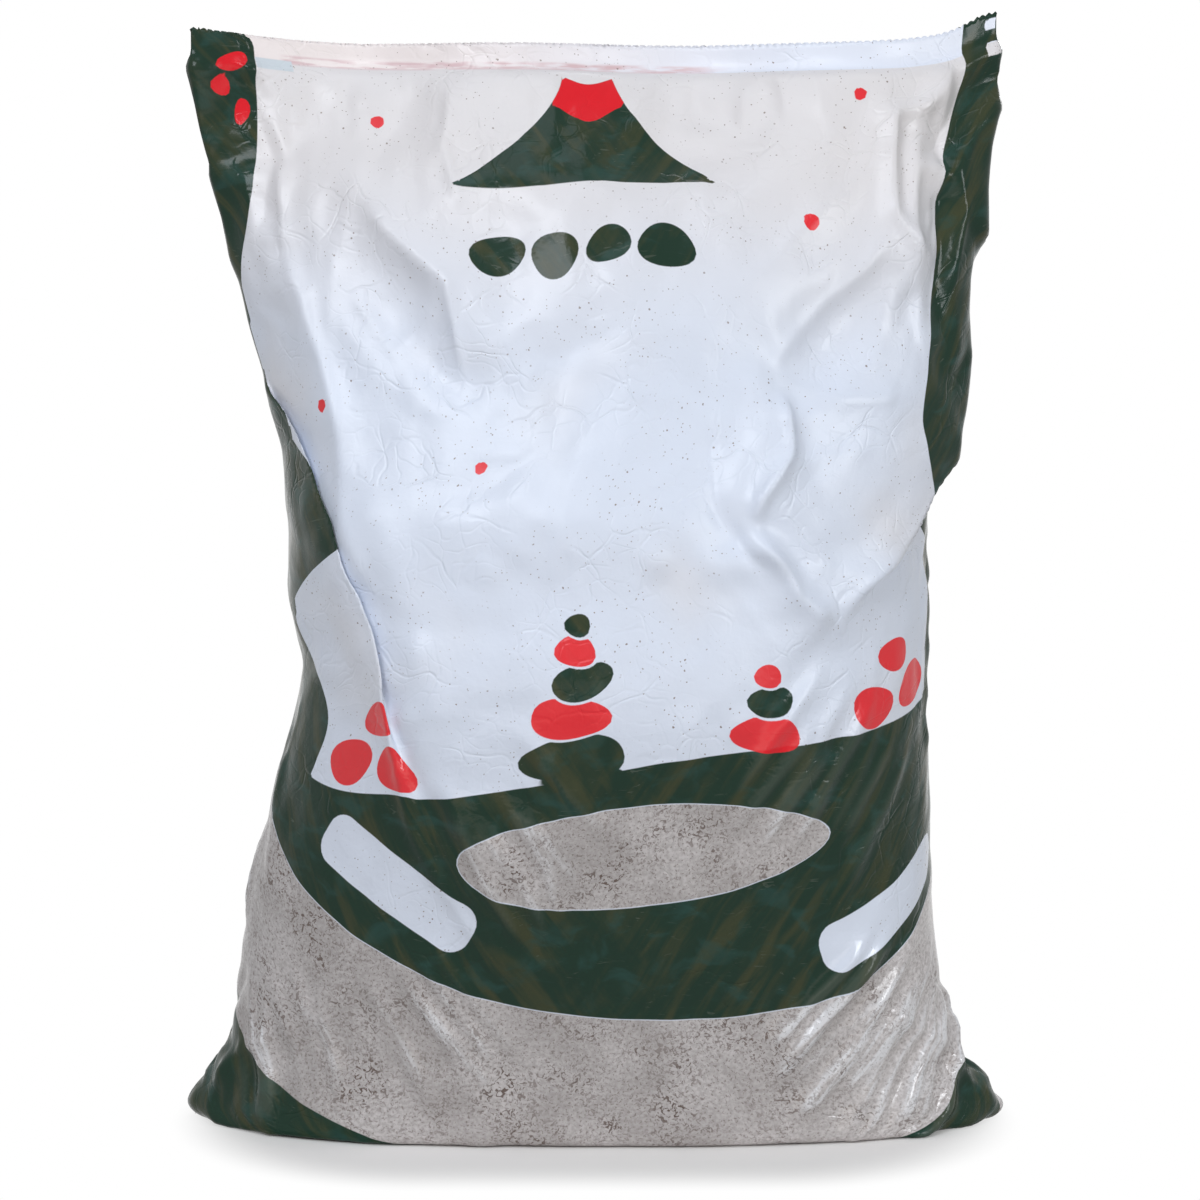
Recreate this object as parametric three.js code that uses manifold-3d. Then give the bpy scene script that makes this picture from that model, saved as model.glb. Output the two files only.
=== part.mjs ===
// A filled sack of granulate, standing on its foot: one lay-flat tube of film, welded across both ends.
// Millimetres, +Z up. The printed front faces -Y, and the origin is the middle of the footprint.
import * as THREE from "three";
import { mergeVertices } from "three/addons/utils/BufferGeometryUtils.js";
import Module from "manifold-3d";

const { lerp, smoothstep } = THREE.MathUtils;

// The empty tube and how high the filled sack stands
const LAYFLAT_WIDTH = 450;
const STANDING_HEIGHT = 583; // floor to the trimmed edge at the middle of the top
const FILL_HEIGHT = 342; // floor to the waist, where the full belly ends and the slack neck begins

// The top weld: a flat strip of two plies, with its free edge trimmed to teeth
const WELD_HEIGHT = 17;
const WELD_THICKNESS = 1;
const TOOTH_PITCH = 4;
const TOOTH_DEPTH = 1.3;
const CORNER_RISE = [10, 22]; // how far the left and right ends of the weld stand above its middle
const RISE_POWER = 4; // a higher power keeps the rise nearer to the corners
const WELD_WAVES = 2.5; // waves along the weld, which draw its two ends together
const WAVE_SWING = 11;
const WAVE_ROOT = 0.55; // share of the way from the waist to the weld where the waves begin

// The foot and the two ears that the bottom weld leaves at its ends
const EAR_REACH = 13; // how far each ear's tip stands out beyond the foot
const EAR_TIP_HEIGHT = 7;
const EAR_ROOT_HEIGHT = 80;
const HEEL_INSET = 3; // how far the belly turns in to the foot's edge

// Film that small gathers use up at the foot, as a share of the girth. At the weld its waves use up what they draw in.
const FOOT_GATHER = 0.01;

// How far each side is drawn in from the lay-flat edge, station by station from the ear to the weld.
// Stations are shares of the way from the floor to the waist, then from the waist to the weld.
const FILL_STATIONS = [0.075, 0.135, 0.25, 0.385, 0.545, 0.7, 0.865, 0.98];
const NECK_STATIONS = [0.1, 0.23, 0.47, 0.7, 0.87, 1];
const LEFT_DRAW = [0, 13, 22, 30, 39, 53, 66, 59, 60, 59, 51, 35, 22, 15, 10];
const RIGHT_DRAW = [0, 16, 26, 37, 41, 43, 46, 46, 45, 30, 24, 21, 16, 8, 10];

// Main folds: both ends as [x, z] on the front or back view, the crest's height, how far it runs out
// on its left and right side, and the face it is on. A pleat that lies over is steep on one side.
const FRONT = -1;
const BACK = 1;
const FOLDS = [
  { from: [-160, 352], to: [-49, 122], height: 11, runOut: [6, 26], face: FRONT },
  { from: [-167, 467], to: [-125, 361], height: 7, runOut: [16, 12], face: FRONT },
  { from: [-125, 361], to: [-80, 232], height: 7, runOut: [10, 20], face: FRONT },
  { from: [-150, 535], to: [-40, 425], height: 4, runOut: [16, 16], face: FRONT },
  { from: [86, 414], to: [97, 368], height: 6, runOut: [16, 9], face: FRONT },
  { from: [97, 368], to: [82, 333], height: 8, runOut: [18, 9], face: FRONT },
  { from: [82, 333], to: [123, 279], height: 8, runOut: [9, 14], face: FRONT },
  { from: [168, 340], to: [123, 280], height: 6, runOut: [8, 14], face: FRONT },
  { from: [172, 530], to: [152, 447], height: 6, runOut: [16, 10], face: FRONT },
  { from: [173, 138], to: [96, 43], height: 3, runOut: [9, 9], face: FRONT },
  { from: [176, 110], to: [126, 40], height: 3, runOut: [9, 9], face: FRONT },
  { from: [-150, 340], to: [40, 250], height: 7, runOut: [10, 18], face: BACK },
  { from: [165, 355], to: [20, 300], height: 7, runOut: [18, 10], face: BACK },
  { from: [120, 530], to: [30, 380], height: 5, runOut: [16, 16], face: BACK },
  { from: [-160, 510], to: [-90, 390], height: 5, runOut: [16, 16], face: BACK },
];

// Faceting
const COLUMNS = 52; // across one face
const ROWS = 42; // from the foot to the weld
const ROW_EVENNESS = 0.45; // 1 spaces the rows evenly, 0 crowds them towards the foot and the weld
const TRIM_ALLOWANCE = 4; // film above the trimmed edge, which the cutter takes away
const CUTTER_DEPTH = 80;

const HALF_WIDTH = LAYFLAT_WIDTH / 2;
const WELD_FOOT = STANDING_HEIGHT - WELD_HEIGHT;
const WELD_GATHER = (LEFT_DRAW.at(-1) + RIGHT_DRAW.at(-1)) / LAYFLAT_WIDTH;

const wasm = await Module();
wasm.setup();

// A smooth curve through values at rising heights, as a function of height.
function curveThrough(heights, values) {
  const curve = new THREE.CubicInterpolant(heights, values, 1);
  return (height) => curve.evaluate(THREE.MathUtils.clamp(height, heights[0], heights.at(-1)))[0];
}

const stationHeights = [
  EAR_TIP_HEIGHT,
  ...FILL_STATIONS.map((share) => share * FILL_HEIGHT),
  ...NECK_STATIONS.map((share) => lerp(FILL_HEIGHT, WELD_FOOT, share)),
];
const leftDraw = curveThrough(stationHeights, LEFT_DRAW);
const rightDraw = curveThrough(stationHeights, RIGHT_DRAW);

// The section at a height is y = depth * (1 - |s|^flat)^tip on each face, for s from -1 at the left to 1 at the right.
// flat 2 gives an oval, more a squarer form; tip 0.5 gives round sides and 1 the sharp sides of a lens.
const BELLY = { flat: 2, tip: 0.5 };
const NECK = { flat: 2, tip: 1 };
const EARS = { flat: 2.9, tip: 0.75 };
const FOOT = { flat: 3.2, tip: 0.5 };

function blend(a, b, share) {
  return { flat: lerp(a.flat, b.flat, share), tip: lerp(a.tip, b.tip, share) };
}

function sectionForm(height) {
  const ear = 1 - smoothstep(height, EAR_TIP_HEIGHT, EAR_ROOT_HEIGHT);
  const neck = smoothstep(height, FILL_HEIGHT, WELD_FOOT);
  return blend(blend(BELLY, NECK, neck), EARS, ear);
}

function bulge(s, { flat, tip }) {
  return (1 - Math.abs(s) ** flat) ** tip;
}

// Columns crowd towards the sides, where a section turns fastest.
const acrossFace = Array.from({ length: COLUMNS + 1 }, (_, i) => -Math.cos((Math.PI * i) / COLUMNS));

function girth(left, right, depth, form) {
  const points = acrossFace.map((s) => new THREE.Vector2(s * (s < 0 ? left : right), depth * bulge(s, form)));
  return 2 * points.slice(1).reduce((sum, point, i) => sum + point.distanceTo(points[i]), 0);
}

// Film doesn't stretch, so where the sides draw in the sack is thicker: the depth that uses up the tube's girth.
function depthFromGirth(height, left, right, form) {
  const target = 2 * LAYFLAT_WIDTH * (1 - lerp(FOOT_GATHER, WELD_GATHER, height / WELD_FOOT));
  let [low, high] = [WELD_THICKNESS / 2, HALF_WIDTH];
  for (let step = 0; step < 40; step++) {
    const middle = (low + high) / 2;
    [low, high] = girth(left, right, middle, form) < target ? [middle, high] : [low, middle];
  }
  return low;
}

function bodySection(height) {
  const left = HALF_WIDTH - leftDraw(height);
  const right = HALF_WIDTH - rightDraw(height);
  const form = sectionForm(height);
  const depth = height < EAR_ROOT_HEIGHT ? heelDepth(height) : depthFromGirth(height, left, right, form);
  return { height, left, right, form, depth };
}

// Between the ears the belly runs on down, grows upright and then turns in to the foot.
function heelDepth(height) {
  const root = bodySection(EAR_ROOT_HEIGHT).depth;
  const above = bodySection(2 * EAR_ROOT_HEIGHT).depth;
  const below = 1 - height / EAR_ROOT_HEIGHT;
  return root - (above - root) * (below - below ** 2 / 2) - HEEL_INSET * below ** 4;
}

function footSection() {
  const half = HALF_WIDTH - EAR_REACH;
  const depth = bodySection(0).depth;
  return { height: 0, left: half, right: half, depth, form: FOOT };
}

// The weld is an even strip, pointed only in its last column.
function weldSection(height) {
  const left = HALF_WIDTH - LEFT_DRAW.at(-1);
  const right = HALF_WIDTH - RIGHT_DRAW.at(-1);
  return { height, left, right, depth: WELD_THICKNESS / 2, form: { flat: 2, tip: 0 } };
}

function sections() {
  const rising = Array.from({ length: ROWS - 1 }, (_, i) => {
    const share = (i + 1) / ROWS;
    const crowded = (1 - Math.cos(Math.PI * share)) / 2;
    return bodySection(WELD_FOOT * lerp(crowded, share, ROW_EVENNESS));
  });
  const weld = [WELD_FOOT, STANDING_HEIGHT + TRIM_ALLOWANCE].map(weldSection);
  return [footSection(), ...rising, ...weld];
}

// The weld sags between its two raised ends, and the neck follows it down to the waist.
function sag(x, height) {
  const rise = x < 0 ? CORNER_RISE[0] : CORNER_RISE[1];
  return rise * (Math.abs(x) / HALF_WIDTH) ** RISE_POWER * smoothstep(height, FILL_HEIGHT, WELD_FOOT);
}

// The weld's waves to the front and back, dying out down the neck.
function sway(x, height) {
  const root = lerp(FILL_HEIGHT, WELD_FOOT, WAVE_ROOT);
  return WAVE_SWING * Math.sin((WELD_WAVES * Math.PI * x) / HALF_WIDTH) * smoothstep(height, root, WELD_FOOT);
}

// How far a fold lifts the film at a point of the front or back view: a sharp crest that dies out at both ends.
function foldLift({ from, to, height, runOut }, x, z) {
  const start = new THREE.Vector2(...from);
  const along = new THREE.Vector2(...to).sub(start);
  const offset = new THREE.Vector2(x, z).sub(start);
  const share = offset.dot(along) / along.lengthSq();
  const aside = offset.cross(along) / along.length();
  const width = aside < 0 ? runOut[1] : runOut[0];
  const ends = smoothstep(share, -0.15, 0.2) * (1 - smoothstep(share, 0.8, 1.15));
  return height * Math.exp(-Math.abs(aside) / width) * ends;
}

function foldedDepth(face, depth, x, z) {
  const lift = FOLDS.filter((fold) => fold.face === face).reduce((sum, fold) => sum + foldLift(fold, x, z), 0);
  const room = smoothstep(depth, WELD_THICKNESS, 30);
  return depth + lift * room;
}

// One ring of points round a section: the front from left to right, then the back from right to left.
function ring(section) {
  const point = (s, face) => {
    const x = s * (s < 0 ? section.left : section.right);
    const depth = foldedDepth(face, section.depth * bulge(s, section.form), x, section.height);
    const edge = Math.abs(s) === 1 ? 0 : depth;
    return [x, face * edge + sway(x, section.height), section.height + sag(x, section.height)];
  };
  const front = acrossFace.slice(0, -1).map((s) => point(s, FRONT));
  const back = acrossFace.slice(1).reverse().map((s) => point(s, BACK));
  return [...front, ...back];
}

// A loft through the rings, closed by a flat foot below and a strip across the weld above.
function loft(rings) {
  const around = rings[0].length;
  const at = (row, column) => row * around + (column % around);
  const across = (row, i) => [at(row, i), at(row, i + 1), at(row, around - i - 1), at(row, around - i)];
  const triangles = [];
  const quad = (a, b, c, d) => triangles.push(a, b, c, a, c, d);
  for (let row = 0; row + 1 < rings.length; row++) {
    for (let column = 0; column < around; column++) {
      quad(at(row, column), at(row, column + 1), at(row + 1, column + 1), at(row + 1, column));
    }
  }
  for (let i = 0; i < COLUMNS; i++) {
    quad(...across(0, i).reverse());
    quad(...across(rings.length - 1, i));
  }
  const geometry = new THREE.BufferGeometry();
  geometry.setAttribute("position", new THREE.Float32BufferAttribute(rings.flat(2), 3));
  geometry.setIndex(triangles.filter((_, i) => !isSliver(triangles, i)));
  return geometry;
}

// At the two side edges front and back share a point, so half of each closing quad has no area.
function isSliver(triangles, i) {
  const first = i - (i % 3);
  return new Set(triangles.slice(first, first + 3)).size < 3;
}

// The knife that trims the weld: a band above the edge, toothed below, that follows the sag.
function trimKnife() {
  const reach = HALF_WIDTH + TOOTH_PITCH;
  const teeth = Math.ceil((4 * reach) / TOOTH_PITCH);
  const outline = new THREE.Shape();
  const top = STANDING_HEIGHT + 2 * Math.max(...CORNER_RISE) + TRIM_ALLOWANCE;
  outline.moveTo(reach, top);
  outline.lineTo(-reach, top);
  for (let i = 0; i <= teeth; i++) {
    const x = lerp(-reach, reach, i / teeth);
    const notch = i % 2 ? TOOTH_DEPTH : 0;
    outline.lineTo(x, STANDING_HEIGHT + sag(x, STANDING_HEIGHT) - notch);
  }
  const knife = new THREE.ExtrudeGeometry(outline, { depth: CUTTER_DEPTH, bevelEnabled: false });
  return knife.translate(0, 0, -CUTTER_DEPTH / 2).rotateX(Math.PI / 2);
}

function toSolid(geometry) {
  const plain = geometry.clone();
  plain.deleteAttribute("normal");
  plain.deleteAttribute("uv");
  const merged = mergeVertices(plain);
  const vertProperties = merged.getAttribute("position").array;
  const triVerts = new Uint32Array(merged.index.array);
  return new wasm.Manifold(new wasm.Mesh({ numProp: 3, vertProperties, triVerts }));
}

function toGeometry(solid) {
  const mesh = solid.getMesh();
  const geometry = new THREE.BufferGeometry();
  geometry.setAttribute("position", new THREE.Float32BufferAttribute(mesh.vertProperties, 3));
  geometry.setIndex(new THREE.Uint32BufferAttribute(mesh.triVerts, 1));
  geometry.computeVertexNormals();
  return geometry;
}

// Puts the middle of the footprint's bounding box at the origin.
function centred(geometry) {
  geometry.computeBoundingBox();
  const { min, max } = geometry.boundingBox;
  return geometry.translate(-(min.x + max.x) / 2, -(min.y + max.y) / 2, -min.z);
}

const body = toSolid(loft(sections().map(ring)));
const film = new THREE.MeshStandardMaterial({ color: 0xe9ebf0, roughness: 0.42, metalness: 0 });
const sack = new THREE.Mesh(centred(toGeometry(body.subtract(toSolid(trimKnife())))), film);
sack.name = "sealed_bag";

const part = new THREE.Group();
part.add(sack);

export default part;
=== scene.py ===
import math

import bpy
import numpy as np
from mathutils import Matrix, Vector
from mathutils.bvhtree import BVHTree
from mathutils.geometry import delaunay_2d_cdt


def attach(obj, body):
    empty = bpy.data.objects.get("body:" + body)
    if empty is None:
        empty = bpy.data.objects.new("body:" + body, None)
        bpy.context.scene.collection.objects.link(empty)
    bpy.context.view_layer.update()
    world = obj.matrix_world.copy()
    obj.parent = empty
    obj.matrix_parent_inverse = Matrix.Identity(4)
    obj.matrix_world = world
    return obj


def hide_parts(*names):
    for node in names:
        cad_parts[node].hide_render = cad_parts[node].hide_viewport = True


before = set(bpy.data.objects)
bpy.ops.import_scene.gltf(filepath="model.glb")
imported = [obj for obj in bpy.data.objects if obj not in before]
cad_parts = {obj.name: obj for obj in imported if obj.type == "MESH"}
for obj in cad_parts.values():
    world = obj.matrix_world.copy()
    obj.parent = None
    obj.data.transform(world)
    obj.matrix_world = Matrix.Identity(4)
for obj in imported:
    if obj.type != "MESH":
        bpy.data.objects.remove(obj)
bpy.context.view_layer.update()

# Lengths are in millimetres until the mesh is made, because the film's print is drawn in them.
MM = 0.001

# The flat film: a tube that lies flat, welded across its foot and its top
FLAT_WIDTH = 450.0
COLUMNS = 448  # round the tube, from the left edge over the front to the right edge and back
ROWS = 216  # from the foot's weld to the trimmed top edge
WELD_STRIP = 17.0
TOOTH_DEPTH = 1.3  # every other column of the trimmed edge is cut back by this
SIDE_EDGE = 8.0  # the tube's two side edges stay as sharp as the solid's over this width
WELD_PUFF = 5.5  # how far the film stands out close under the weld
FOOT_PINCH = 0.012  # the share of the foot's depth that stays open along its weld
FOOT_ROWS = 20
EAR_PULL = 8.0  # the foot's two corners are drawn out by this
EAR_FADE = 13.0
PUFF_FADE = (16.0, 2.0)  # the puff sinks below the weld over the first length, and starts over the second

# The rays that find the CAD solid's surface
TOP_STRIP = 45.0  # the trimmed edge is looked for this far below the solid's top
TOP_SLOTS = 44
RAYS_ACROSS = 97
RAY_ROWS = 150
RAY_HEIGHTS = (0.0006, 0.9985)  # the lowest and the highest row, as shares of the height
RAY_START = 400.0  # outside the solid
LAID_ROUNDS = 6  # of smoothing, for the film as laid and for its normals
NORMAL_ROUNDS = 12

# How far the film may leave its drawn shape: in and out over the fill, in and out in the slack neck
FILL_TOP = 400.0
FILL_GIVE = (0.8, 1.0)
NECK_GIVE = (5.0, 3.0)
NECK_SPARE = 0.005  # the neck's film is this much longer than its drawn shape
NECK_BLEND = 60.0  # the neck's ways set in from this far below the fill's top to this far above
# The film settles on a coarse grid and then on finer ones: every so many points, rounds, stiffness in bending
SETTLING = [(4, 200, 0.1), (2, 200, 0.2), (1, 60, 0.3)]
SLANT_STIFFNESS = 0.6  # how well lengths on the slant are kept, where 1 is for lengths round and along
STARTING_BUMPS = 0.3  # a coarse grid starts from bumps of this height for each point that it skips over
BUMP_POINTS = 3  # grid points to a bump
FLOOR_GAP = 0.2  # while it settles the film stays this far above the floor

# Folds are drawn on the front view, or on the back view where that is said, as [x, z] points in millimetres.
# The two numbers of a fade or a lap are for the left and the right of the line, seen along it.
FRONT = -1
BACK = 1
FOOT_SKIP = 25.0  # folds are looked for this far up the film and higher
FOLD_STOP = (45.0, 20.0)  # broad folds end between these distances from the trimmed edge
FINE_STOP = 6.0  # fine folds end over this length below the weld
# A crease lifts the film along a line, by less and less to its left and right; a negative lift is a valley.
# "crisp" is the part of the lift that stays close to the line.
CREASES = [
    dict(line=[(-167, 494), (-162, 470), (-140, 425), (-125, 371), (-100, 294)], lift=5, crisp=1.6,
         fade=(16, 20)),
    dict(line=[(-123, 499), (-100, 478), (-74, 456), (-70, 432), (-67, 405)], lift=5, crisp=1.8,
         fade=(9, 14)),
    dict(line=[(-128, 456), (-103, 423), (-75, 447)], lift=2, crisp=0.8, fade=(7, 8)),
    dict(line=[(-168, 524), (-162, 470)], lift=3, crisp=1.2, fade=(8, 10)),
    dict(line=[(-77, 564), (-79, 526), (-68, 492)], lift=2, crisp=1.2, fade=(9, 5)),
    dict(line=[(190, 571), (172, 549), (157, 542), (155, 520), (156, 493), (168, 474), (182, 466)], lift=6,
         crisp=3.0, fade=(7, 13)),
    dict(line=[(172, 549), (182, 536), (186, 510)], lift=-3, crisp=-1.2, fade=(8, 8)),
    dict(line=[(158, 484), (119, 447), (86, 414)], lift=3.5, crisp=2.0, fade=(10, 11)),
    dict(line=[(86, 414), (122, 398), (162, 401)], lift=2.5, crisp=1.0, fade=(9, 9)),
    dict(line=[(68, 446), (105, 482), (141, 514)], lift=1.5, crisp=0.7, fade=(9, 9)),
    dict(line=[(95, 402), (97, 367), (81, 333)], lift=6, crisp=3.2, fade=(6, 10)),
    dict(line=[(55, 385), (62, 341), (82, 316), (100, 298)], lift=-3, crisp=-1.0, fade=(9, 8)),
    dict(line=[(81, 333), (103, 298), (123, 280)], lift=6, crisp=3.4, fade=(5, 20)),
    dict(line=[(184, 358), (152, 318), (123, 280)], lift=1.5, crisp=2.6, fade=(5, 12)),
    dict(line=[(150, 78), (188, 46), (214, 14)], lift=3, crisp=2.4, fade=(6, 9)),
    dict(line=[(185, 88), (203, 52), (216, 18)], lift=-3, crisp=-1.6, fade=(6, 6)),
    dict(line=[(-152, 72), (-190, 44), (-216, 14)], lift=2.5, crisp=2.0, fade=(9, 6)),
    dict(line=[(-188, 92), (-206, 54), (-216, 18)], lift=-2.5, crisp=-1.4, fade=(6, 6)),
    dict(line=[(-165, 515), (-125, 450), (-85, 385)], lift=4, crisp=1.6, fade=(12, 16), face=BACK),
    dict(line=[(125, 535), (85, 450), (30, 375)], lift=4.5, crisp=2.0, fade=(16, 10), face=BACK),
    dict(line=[(170, 360), (95, 332), (15, 298)], lift=4, crisp=1.8, fade=(14, 8), face=BACK),
    dict(line=[(-155, 345), (-60, 300), (45, 248)], lift=4, crisp=1.6, fade=(8, 14), face=BACK),
    dict(line=[(10, 560), (-15, 500), (-40, 455)], lift=3, crisp=1.2, fade=(10, 8), face=BACK),
]
CRISP_FADE = 2.5
CREASE_ENDS = 0.2  # the share of a crease's length over which it fades at each end
# A pleat laps the film over itself: the part to the right of the line lies over the part to its left.
PLEATS = [
    dict(line=[(-154, 363), (-139, 328), (-115, 271), (-102, 221), (-87, 175), (-55, 119)], before=60,
         lap=(18, 22), lift=6, ends=(0.4, 0.9)),
    dict(line=[(184, 358), (175, 348), (123, 280)], before=20, lap=(6, 8), lift=4.5, ends=(0.55, 0.85)),
]
PLEAT_START = 0.08  # the share of a pleat's length over which it sets in
PLEAT_END = 0.7  # its lift fades from this share of its length on
LAP_FADE = (45.0, 90.0)  # how far from the line film is drawn in: under the pleat, over it
PLEAT_SINK = 1.5  # the film under the pleat sinks by this
PLEAT_FADE = (25.0, 30.0)  # how far from the line the film sinks and is lifted
# A dent is an oval hollow, or a swelling where its depth is negative.
DENTS = [
    dict(at=(-95, 440), size=(34, 62), turn=35, depth=7),
    dict(at=(120, 428), size=(30, 62), turn=-42, depth=9),
    dict(at=(92, 330), size=(16, 50), turn=30, depth=4),
    dict(at=(30, 520), size=(70, 26), turn=0, depth=4),
]
# A crumple breaks an oval of film into flat facets of about the given width and height.
CRUMPLES = [
    dict(at=(192, 500), size=(44, 110), facet=(15, 28), lift=6.0),
    dict(at=(-196, 520), size=(38, 100), facet=(12, 44), lift=4.6),
    dict(at=(206, 34), size=(46, 46), facet=(13, 15), lift=3.0),
    dict(at=(-206, 30), size=(42, 42), facet=(10, 22), lift=2.0),
    dict(at=(0, 470), size=(230, 150), facet=(34, 44), lift=1.9),
    dict(at=(0, 470), size=(240, 140), facet=(26, 40), lift=2.0, face=BACK),
    dict(at=(200, 300), size=(40, 110), facet=(16, 30), lift=1.2),
    dict(at=(-200, 300), size=(40, 120), facet=(16, 30), lift=1.2),
]
FACET_SCATTER = 0.42  # how far a facet's corners leave an even grid, as a share of the facet's size
FACET_RIM = 2.5  # how steeply a crumple starts at its rim
# A set of wrinkles: "count" of them lie side by side across an oval, at an angle from the level.
# "size" is the oval's half length along the wrinkles and across them.
# Lengths and lifts are drawn from a range.
# "round" is 1 for sharp crests, which is the usual, and 2 for round ones.
WRINKLES = [
    dict(at=(150, 48), size=(14, 58), turn=42, spread=4, count=13, length=(85, 150),
         lift=(2.8, 5.0), fade=3.8, round=1.5),
    dict(at=(188, 280), size=(60, 24), turn=82, spread=8, count=10, length=(40, 100),
         lift=(1.0, 2.6), fade=3.2, round=1.5),
    dict(at=(122, 195), size=(20, 50), turn=58, spread=6, count=9, length=(70, 130),
         lift=(1.6, 3.4), fade=4.6, round=1.6),
    dict(at=(-45, 165), size=(20, 50), turn=-56, spread=6, count=8, length=(80, 140),
         lift=(1.6, 3.4), fade=4.6, round=1.6),
    dict(at=(-165, 42), size=(20, 34), turn=-66, spread=6, count=10, length=(60, 110),
         lift=(1.4, 2.8), fade=3.4),
    dict(at=(-85, 65), size=(16, 34), turn=-50, spread=5, count=6, length=(70, 130),
         lift=(1.6, 3.6), fade=3.8, round=1.6),
    dict(at=(-178, 180), size=(70, 26), turn=90, spread=7, count=10, length=(50, 110),
         lift=(1.2, 2.6), fade=3.4),
    dict(at=(-205, 28), size=(14, 30), turn=115, spread=16, count=9, length=(25, 55),
         lift=(1.0, 2.2), fade=2.8),
    dict(at=(0, 545), size=(12, 200), turn=90, spread=14, count=26, length=(20, 60),
         lift=(0.4, 1.6), fade=4.0),
    dict(at=(0, 430), size=(90, 180), turn=75, spread=60, count=46, length=(20, 75),
         lift=(-0.7, 1.2), fade=3.4),
    dict(at=(30, 300), size=(60, 150), turn=65, spread=35, count=24, length=(30, 90),
         lift=(-0.6, 1.0), fade=3.4),
    dict(at=(0, 150), size=(80, 170), turn=60, spread=50, count=36, length=(20, 70),
         lift=(-0.6, 1.0), fade=3.4),
    dict(at=(0, 430), size=(100, 190), turn=80, spread=60, count=44, length=(25, 90),
         lift=(-1.2, 2.2), fade=4.5, face=BACK),
    dict(at=(0, 150), size=(80, 180), turn=70, spread=50, count=40, length=(30, 100),
         lift=(-0.8, 1.8), fade=3.8, face=BACK),
    dict(at=(0, 545), size=(12, 200), turn=90, spread=14, count=26, length=(20, 60),
         lift=(0.4, 1.6), fade=4.0, face=BACK),
]
WRINKLE_BEND = 0.08  # how far a wrinkle leaves a straight line, as a share of half its length
WRINKLE_ENDS = 0.3  # the share of a wrinkle's length over which it fades at each end
FILL_LUMPS = 0.45  # how far lumps of the fill, of the size below, press the film out
LUMP_SIZE = 14.0
LUMP_FADE = 80.0  # they end over this height below the fill's top

# The print: fields of colour on the flat film, as [across from the front's middle, up from the foot's weld]
WHITE_LEFT = [(230, -184), (262, -172), (288, -173), (304, -190), (322, -218), (340, -226), (355, -214),
              (368, -195), (380, -167), (400, -162), (420, -194), (438, -226), (470, -236), (515, -230),
              (545, -216), (575, -204), (610, -197), (690, -188)]
WHITE_RIGHT = [(230, 208), (281, 203), (340, 214), (420, 205), (470, 180), (530, 190), (600, 195),
               (690, 204)]
BACK_WHITE = 196  # half the width of the back's white field
BAND_TOP = [(-230, 262), (-150, 252), (-60, 267), (40, 280), (140, 292), (230, 286)]
BAND_LOW = {"middle": 45, "height": 138, "rise": 0.0013}
CORNER_LEFT = [(-230, 100), (-160, 79), (-110, 66), (-70, 50), (-40, 20), (0, -60)]
CORNER_RIGHT = [(70, -60), (105, 22), (140, 44), (180, 58), (230, 84)]
LENS = {"at": (24, 230), "size": (100, 27), "turn": 3, "lump": 0.05}
PLATES = [
    dict(at=(-108, 208), half=(50, 15), turn=-27),
    dict(at=(166, 184), half=(44, 14), turn=17),
]
PLATE_ROUND = 11.0
MISPRINT = 0.45  # the grey stops short of the green by this, and the film's white shows between
# The hill at the top: its foot and summit from left to right, with a red cap above a wavy line
HILL = {"foot": (-84, 62), "low": 588, "top": 655, "summit": (-24, 4), "cap": 632, "slope": 1.6}
HILL_WAVES = {"height": 5, "crater": 9, "crater_from": -10, "cap": 6.5}
# Stones, as [across, up, half width, half height, turn, colour]
GREEN = 0
RED = 1
STONES = [
    (-58, 552, 15, 11, 6, GREEN), (-27, 550, 13, 12, -8, GREEN), (2, 552, 12, 10, 10, GREEN),
    (33, 549, 16, 12, -5, GREEN),
    (-16, 284, 27, 13, 3, GREEN), (-19, 306, 21, 11, -6, RED), (-14, 325, 16, 10, 8, GREEN),
    (-17, 341, 11, 8, -10, RED), (-15, 354, 7, 6, 5, GREEN),
    (84, 294, 19, 10, -4, RED), (86, 311, 13, 8, 6, GREEN), (84, 324, 8, 6, -8, RED),
    (-146, 268, 15, 12, 8, RED), (-113, 270, 14, 12, -12, RED), (-130, 293, 13, 9, 10, RED),
    (150, 304, 15, 11, -8, RED), (184, 305, 14, 11, 5, RED), (167, 328, 13, 9, -6, RED),
    (-203, 661, 9, 5, 24, RED), (-211, 647, 5, 6, -10, RED), (-202, 633, 4, 8, -18, RED),
    (-128, 628, 4, 4, 0, RED), (112, 574, 4.5, 4.5, 0, RED), (-165, 470, 3.5, 3.5, 0, RED),
    (138, 648, 3.5, 3.5, 0, RED), (-70, 440, 3.5, 3.5, 0, RED),
]
STONE_GAP = 1.2  # bare film between stones that overlap
STONE_LUMP = 0.06  # how far a stone's outline leaves its oval
# Bare patches at the right edge, as [across, up, half width, half height]
EDGE_MARKS = [(221, 674, 5, 3), (220, 660, 5, 4), (223, 20, 4, 8)]
FAR_OUT = 1e3  # the distance from a print that isn't on this face
PLEAT_PRINT = (0.6, 0.95)  # from and to these shares of the way round, the print forgets the pleats
PRINT_ROUNDS = 12

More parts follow.
